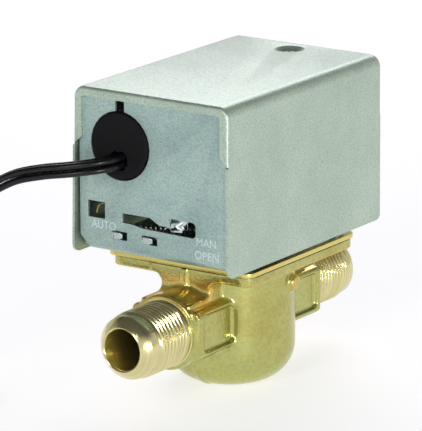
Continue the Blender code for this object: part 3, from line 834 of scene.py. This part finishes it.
def makeStemPlate():
    s = plateSet
    low, high = s["height"]
    cuts = [drill(6.3, low - 2, high + 3, s["stem"])]
    cuts += [drill(1.9, low - 1, high + 1, spot, steps=24) for spot in s["posts"]]
    cuts += [drill(1.9, low - 1, high + 1, spot, steps=24) for spot in castingSet["screwSpots"]]
    bm = bevelled(cutMesh(slab(roundBox(*s["outline"], s["corner"]), low, high), cuts), 0.22, 3)
    showPiece("stemPlate", bm, brassPlate, stands=("stem_plate",))
    boss = [(2.9, 38.2), (3.1, 38.0), (6.3, 38.0), (6.5, 38.3), (6.5, 47.2), (6.2, 47.5)]
    boss += [(3.2, 47.5), (2.9, 47.2), (2.9, 44.4), (4.4, 44.4), (4.4, 41.0), (2.9, 41.0)]
    bm = spun(boss, (*s["stem"], 0), steps=64)
    for x, y in s["posts"]:
        post = [(1.9, 42.95), (3.4, 42.95), (3.4, 47.2), (3.1, 47.5), (2.1, 47.5), (1.9, 47.3)]
        addTo(bm, spun(post, (x, y, 0), steps=48))
    showPiece("stemBoss", bm, brassPlate, stands=("stem_plate",))
    turns = [math.tau * i / 16 for i in range(16)]
    bm = spun([(20.2 + 0.68 * math.cos(t), 41.95 + 0.62 * math.sin(t)) for t in turns], steps=96)
    showPiece("bodySealRing", bm, blackRubber, stands=("body_seal_ring",))
    packing = [(2.9, 41.6), (3.2, 41.3), (3.8, 41.3), (4.1, 41.6)]
    packing += [(4.1, 43.8), (3.8, 44.1), (3.2, 44.1), (2.9, 43.8)]
    bm = spun(packing, (*s["stem"], 0), steps=48)
    showPiece("stemPacking", bm, blackRubber, stands=("stem_packing",))


motorSpots = ((-28.9, 16.0), (19.5, 28.0))
switchSpots = ((8.2, -26.0), (17.8, -26.0))
screwSet = {
    "plate_screw": {"at": castingSet["screwSpots"], "tip": 39.6, "seat": 44.6, "head": 3.0, "shank": 1.6},
    "head_screw": {"at": plateSet["posts"], "tip": 44.0, "seat": 49.0, "head": 3.2, "shank": 1.6},
    "motor_screw": {"at": motorSpots, "tip": 46.6, "seat": 65.0, "head": 2.6, "shank": 1.0},
    "switch_screw": {"at": switchSpots, "tip": 46.6, "seat": 55.5, "head": 2.0, "shank": 1.0},
    "cover_screw": {"at": ((-5.5, 43.9),), "tip": 90.0, "seat": 99.1, "head": 2.7, "shank": 1.4},
}


def makeScrew(nodeName, values, spot, material):
    # a slotted pan head with fine turned thread grooves on its shank
    seat, tip, head, shank = (values[k] for k in ("seat", "tip", "head", "shank"))
    tall = 0.62 * head
    profile = [(0, tip), (shank - 0.35, tip), (shank, tip + 0.4)]
    pitch = 0.7
    height = tip + 0.6
    while height < seat - 0.9:
        profile += [(shank, height), (shank - 0.28, height + 0.5 * pitch)]
        height += pitch
    profile += [(shank, seat - 0.5), (shank, seat), (head - 0.15, seat), (head, seat + 0.12)]
    profile += [(head, seat + 0.45 * tall)]
    profile += [(head * math.cos(t), seat + tall * (0.45 + 0.55 * math.sin(t))) for t in (0.4, 0.8, 1.15)]
    profile += [(0, seat + tall)]
    x, y = spot
    bm = spun(profile, (x, y, 0), steps=40)
    turn = Matrix.Rotation(0.6 + x, 4, "Z")
    cutter = brick((-head - 1, -0.32, seat + 0.5 * tall), (head + 1, 0.32, seat + tall + 1))
    bmesh.ops.transform(cutter, matrix=Matrix.Translation((x, y, 0)) @ turn, verts=cutter.verts)
    bm = cutMesh(bm, [cutter])
    showPiece(pieceName(nodeName), bm, material, stands=(nodeName,), sharp=40)


makeStemPlate()
for kind, values in screwSet.items():
    for number, spot in enumerate(values["at"], 1):
        if kind == "cover_screw":
            makeScrew(kind, values, spot, steelMotor)
        else:
            makeScrew(f"{kind}_{number}", values, spot, steelBright)
print("stem plate and screws ready")


coverSet = {
    "x": (-34.8, 25.4),
    "y": (-38.28, 52.58),
    "z": (45.62, 101.78),
    "corner": 4.0,
    "bend": 1.25,
    "sheet": 0.9,
    "lip": 3.1,
    "lipFoot": 82.0,
    "lean": 1.25,
    "screw": (-5.5, 43.9),
}


def coverPath():
    # points up the left side, over the top and down the right, each with its inward direction
    (left, right), (low, high) = coverSet["x"], coverSet["z"]
    r = coverSet["corner"]
    path = [((left, z), (1, 0)) for z in (low, 55.0, 70.0, 84.0, high - r)]
    for cx, start in ((left + r, 180), (right - r, 90)):
        for i in range(1 if start == 180 else 0, 11):
            t = math.radians(start - 9 * i)
            path.append(((cx + r * math.cos(t), high - r + r * math.sin(t)), (-math.cos(t), -math.sin(t))))
    path += [((right, z), (-1, 0)) for z in (84.0, 70.0, 55.0, low)]
    return path


quarterTurn = [math.radians(15 * i) for i in range(7)]


def coverSection():
    # the sheet's section along Y as (depth inward, y), outside first
    front, rear = coverSet["y"]
    bend, sheet, lip = coverSet["bend"], coverSet["sheet"], coverSet["lip"]
    outer = [(lip, front)]
    outer += [(bend - bend * math.sin(t), front + bend - bend * math.cos(t)) for t in quarterTurn]
    outer += [(bend - bend * math.cos(t), rear - bend + bend * math.sin(t)) for t in quarterTurn]
    outer += [(lip, rear)]
    small = bend - sheet
    inner = [(lip, rear - sheet)]
    inner += [(bend - small * math.sin(t), rear - bend + small * math.cos(t)) for t in quarterTurn]
    inner += [(bend - small * math.cos(t), front + bend - small * math.sin(t)) for t in quarterTurn]
    inner += [(lip, front + sheet)]
    return outer + inner


def makeCover():
    (left, right), (front, rear), (low, high) = (coverSet[k] for k in "xyz")
    sheet, foot, lip = coverSet["sheet"], coverSet["lipFoot"], coverSet["lip"]
    bm = bmesh.new()
    rings = []
    for (x, z), (inX, inZ) in coverPath():
        rings.append([bm.verts.new((x + inX * d, y, z + inZ * d)) for d, y in coverSection()])
    bridged(bm, rings)
    cover = rawObject("coverRaw", bm)
    for edge, way in ((left, 1), (right, -1)):
        wedge = [(edge - way, low - 1), (edge + 8 * way, low - 1), (edge + 8 * way, foot + 8), (edge, foot)]
        wedge += [(edge - way, foot)]
        for y, into, short in ((front, 1, 0.0), (rear, -1, 0.57)):
            near, far = sorted((y - into, y + 1.3 * into))
            combine(cover, "DIFFERENCE", slab(wedge, near, far, "XZ"))
            near, far = sorted((y - short, y + 2.0 * into))
            wallNear, wallFar = sorted((edge, edge + sheet * way))
            combine(cover, "UNION", brick((wallNear, near, low), (wallFar, far, foot)))
        for y, into in ((front, 1), (rear, -1)):
            corner = [(y - into, low - 1), (y + 3 * into, low - 1)]
            corner += [(y + 3 * into * (1 - math.sin(t)), low + 3 * (1 - math.cos(t))) for t in quarterTurn]
            corner += [(y - into, low + 3)]
            combine(cover, "DIFFERENCE", slab(corner, edge - 2, edge + 2, "YZ"))
    x, y = coverSet["screw"]
    cup = [(0, high - 3.9), (3.3, high - 3.9), (3.9, high - 3.4), (5.3, high - 0.5), (0, high - 0.5)]
    combine(cover, "UNION", spun(cup, (x, y, 0), steps=64))
    dish = [(0, high - 3.0), (2.7, high - 3.0), (3.15, high - 2.7), (4.3, high - 0.7), (4.65, high - 0.28)]
    dish += [(5.1, high - 0.08), (5.8, high + 0.01), (6.2, high + 1), (0, high + 1)]
    combine(cover, "DIFFERENCE", spun(dish, (x, y, 0), steps=64))
    combine(cover, "DIFFERENCE", drill(1.8, high - 7, high + 1, (x, y)))
    bm = bmesh.new()
    bm.from_mesh(cover.data)
    bpy.data.objects.remove(cover, do_unlink=True)
    bmesh.ops.remove_doubles(bm, verts=bm.verts, dist=0.002)
    bmesh.ops.dissolve_limit(
        bm, angle_limit=math.radians(0.5), use_dissolve_boundaries=False, verts=bm.verts, edges=bm.edges
    )
    bevelled(bm, 0.16, 2, 50)
    crown = high - coverSet["corner"]
    for vert in bm.verts:
        if vert.co.x < left + 1.5 and vert.co.z < crown:
            vert.co.x -= coverSet["lean"] * (crown - vert.co.z) / (crown - low)
    showPiece("coverShell", bm, coverSteel, stands=("cover",), sharp=40)


frameSet = {
    "panel": -37.4,
    "tabWindows": (-20.7, -8.85),
    "tabHeight": (52.45, 54.95),
}


def makeLancedTab(number, start):
    # a small ear bent out of the panel, left of its window
    panel = frameSet["panel"]
    low, high = frameSet["tabHeight"]
    bm = bmesh.new()
    rings = []
    for i in range(17):
        t = math.pi * i / 16
        x = start + 2.1 - 2.3 * math.cos(t)
        out = 0.12 + 0.74 * math.sin(t)
        narrow = 0.55 * abs(math.cos(t)) ** 3
        section = roundBox(low + narrow, high - narrow, panel - out, panel - out + 0.7, 0.3, 4)
        rings.append([bm.verts.new((x, y, z)) for z, y in section])
    bridged(bm, rings)
    showPiece(f"lancedTab{number}", bm, steelTab, stands=("head_frame",), sharp=60)


legendSet = {
    "AUTO": {"x": (-28.7, -19.1), "z": (55.0, 57.8)},
    "MAN": {"x": (12.7, 20.0), "z": (55.0, 57.6)},
    "OPEN": {"x": (11.9, 21.2), "z": (50.5, 53.3)},
    "lift": 0.04,
}


def makeLegend(words):
    (x0, x1), (z0, z1) = legendSet[words]["x"], legendSet[words]["z"]
    curve = bpy.data.curves.new("legendRaw", "FONT")
    curve.body = words
    curve.size = 1.0
    curve.extrude = 0.01
    curve.resolution_u = 4
    mesh = evaluated(link(bpy.data.objects.new("legendRaw", curve)))
    bm = bmesh.new()
    bm.from_mesh(mesh)
    bmesh.ops.remove_doubles(bm, verts=bm.verts, dist=0.0001)
    xs = [v.co.x for v in bm.verts]
    ys = [v.co.y for v in bm.verts]
    wide = (x1 - x0) / (max(xs) - min(xs))
    tall = (z1 - z0) / (max(ys) - min(ys))
    for v in bm.verts:
        depth = frameSet["panel"] - legendSet["lift"] * (1.2 if v.co.z > 0 else -0.5)
        v.co = (x0 + (v.co.x - min(xs)) * wide, depth, z0 + (v.co.y - min(ys)) * tall)
    showPiece("legend" + words.title(), bm, printWhite, stands=("head_frame",))


bushingSet = {
    "centre": (-17.0, 83.6),
    "radius": 11.5,
    "passage": (-20.9, -14.1, 75.5, 81.9),
}


def makeBushing():
    x, z = bushingSet["centre"]
    radius = bushingSet["radius"]
    panel = frameSet["panel"]
    profile = [(0, panel - 0.28), (6.5, panel - 0.3), (8.6, panel - 0.36), (9.3, panel - 0.5)]
    profile += [(radius - 1.0, panel - 0.5), (radius - 0.62, panel - 0.36), (radius - 0.5, panel - 0.1)]
    profile += [(radius - 0.5, panel + 1.2), (radius + 0.6, panel + 1.2), (radius + 0.8, panel + 1.4)]
    profile += [(radius + 0.8, panel + 2.8), (radius + 0.6, panel + 3.0), (0, panel + 3.0)]
    bm = spun(profile, (x, 0, z), "Y", 96)
    bm = cutMesh(bm, [slab(roundBox(*bushingSet["passage"], 2.6, 8), panel - 2, panel + 5, "XZ")])
    showPiece("wireBushing", bm, blackRubber, stands=("wire_bushing",), sharp=45)


makeCover()
softened("head_frame", frameSteel, 0.14, 2)
for number, start in enumerate(frameSet["tabWindows"], 1):
    makeLancedTab(number, start)
for words in ("AUTO", "MAN", "OPEN"):
    makeLegend(words)
makeBushing()
print("cover, frame and bushing ready")


stemSet = {
    "at": (8.5, 4.0),
    "reach": 10.29,
    "rest": 189.7,
    "ball": 6.9,
}


def makeStem():
    x, y = stemSet["at"]
    profile = [(0, 16.5), (2.0, 16.5), (2.5, 17.0), (2.5, 47.8), (2.35, 48.0), (2.35, 48.6), (2.5, 48.8)]
    profile += [(2.5, 62.5), (2.0, 63.0), (0, 63.0)]
    bm = spun(profile, (x, y, 0), steps=56)
    showPiece("valveStem", bm, steelBright, "stem", ("valve_stem",))
    rest = math.radians(stemSet["rest"])
    out = Vector((math.cos(rest), math.sin(rest), 0))
    side = Vector((-out.y, out.x, 0))

    def barOutline(near, far, half):
        ends = ((near, -half), (far, -half), (far, half), (near, half))
        spots = [Vector((x, y, 0)) + out * a + side * b for a, b in ends]
        return [(spot.x, spot.y) for spot in spots]

    eye = [(0, 20.5), (4.1, 20.5), (4.4, 20.8), (4.4, 27.7), (4.1, 28.0), (0, 28.0)]
    arm = rawObject("arm", spun(eye, (x, y, 0), steps=56))
    combine(arm, "UNION", slab(barOutline(2, 7.5, 1.6), 22.4, 25.6))
    bm = bmesh.new()
    bm.from_mesh(arm.data)
    bpy.data.objects.remove(arm, do_unlink=True)
    bm = bevelled(cutMesh(bm, [drill(2.8, 10, 40, (x, y))]), 0.15, 2, 50)
    showPiece("ballArm", bm, nylonPale, "stem", ("ball_arm",))
    ball = Vector((x, y, flowHeight)) + out * stemSet["reach"]
    bm = bmesh.new()
    bmesh.ops.create_uvsphere(bm, u_segments=64, v_segments=36, radius=stemSet["ball"])
    bmesh.ops.translate(bm, vec=ball, verts=bm.verts)
    bm = cutMesh(bm, [slab(barOutline(1, 7.8, 1.9), 22.1, 25.9), drill(4.7, 15, 33, (x, y))])
    showPiece("ballPlug", bm, blackRubber, "stem", ("ball_plug",))


springSet = {
    "start": (-22.4, -28.2, 53.6),
    "end": (9.2, -12.4, 53.6),
    "coil": 1.68,
    "wire": 0.36,
    "turns": 22,
    "steps": 20,
    "anchorWire": 0.42,
    "anchor": (
        (-30.6, -31.6, 58.2),
        (-30.2, -31.2, 60.4),
        (-28.6, -30.8, 61.6),
        (-26.4, -30.6, 61.8),
        (-24.4, -30.8, 61.2),
        (-23.4, -31.2, 59.8),
    ),
}


def tube(bm, line, radius, sides=8):
    # a round wire along a line, with its frame carried from point to point
    rings = []
    across = None
    for i, spot in enumerate(line):
        along = (line[min(i + 1, len(line) - 1)] - line[max(i - 1, 0)]).normalized()
        if across is None:
            across = along.orthogonal().normalized()
        across = (across - along * across.dot(along)).normalized()
        up = along.cross(across)
        rings.append(
            [
                bm.verts.new(spot + (across * math.cos(t) + up * math.sin(t)) * radius)
                for t in [math.tau * k / sides for k in range(sides)]
            ]
        )
    return bridged(bm, rings)


def makeSpring():
    s = springSet
    start, end = Vector(s["start"]), Vector(s["end"])
    run = end - start
    along = run.normalized()
    side = Vector((-along.y, along.x, 0))
    line = []
    count = s["turns"] * s["steps"]
    for i in range(count + 1):
        turn = math.tau * i / s["steps"] - math.pi / 2
        spot = start + run * (i / count) + side * s["coil"] * math.cos(turn)
        line.append(spot + Vector((0, 0, s["coil"] * math.sin(turn))))
    bm = tube(bmesh.new(), line, s["wire"] * 0.8, 8)
    obj = showPiece("returnSpring", bm, steelBright, None, ("return_spring",), sharp=80)
    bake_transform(obj)


def makeAnchorLoop():
    # the spring's loose loop of wire seen through the small window
    bm = tube(bmesh.new(), smoothLine(springSet["anchor"], 8), springSet["anchorWire"], 12)
    showPiece("springAnchorLoop", bm, brassPlate, stands=("spring_post",))


makeStem()
makeSpring()
makeAnchorLoop()
for nodeName, body, material, width, slotName in (
    ("manual_lever", "lever", steelLeverShaded, 0.12, "bright_steel"),
    ("lever_pivot", "housing", steelBright, 0.10, "bright_steel"),
    ("spring_post", "housing", steelBright, 0.10, "bright_steel"),
    ("sector_gear", "stem", steelBright, 0.08, "bright_steel"),
    ("motor_pinion", "pinion", steelBright, 0.05, "bright_steel"),
    ("motor_can", "housing", steelMotor, 0.25, "zinc_steel"),
    ("motor_plate", "housing", steelMotor, 0.12, "zinc_steel"),
    ("motor_spacer_1", "housing", steelBright, 0.10, "bright_steel"),
    ("motor_spacer_2", "housing", steelBright, 0.10, "bright_steel"),
    ("switch_body", "housing", blackMoulded, 0.20, "switch_black"),
    ("switch_button", "button", nylonPale, 0.12, "nylon_natural"),
):
    softened(nodeName, material, width, 2, 30, body)
print("mechanism ready")


floorSet = {"size": 9.0, "colour": (0.50, 0.50, 0.52), "glow": 0.67}


def makeFloor():
    bm = bmesh.new()
    bmesh.ops.create_grid(bm, x_segments=1, y_segments=1, size=floorSet["size"] / 2)
    mesh = bpy.data.meshes.new("floor")
    bm.to_mesh(mesh)
    bm.free()
    material, _, shader = newMaterial("floorPaper", floorSet["colour"], 0.0, 0.7)
    shader.inputs["Emission Color"].default_value = (1.0, 1.0, 1.0, 1.0)
    shader.inputs["Emission Strength"].default_value = floorSet["glow"]
    mesh.materials.append(material)
    link(bpy.data.objects.new("floor", mesh))


makeFloor()
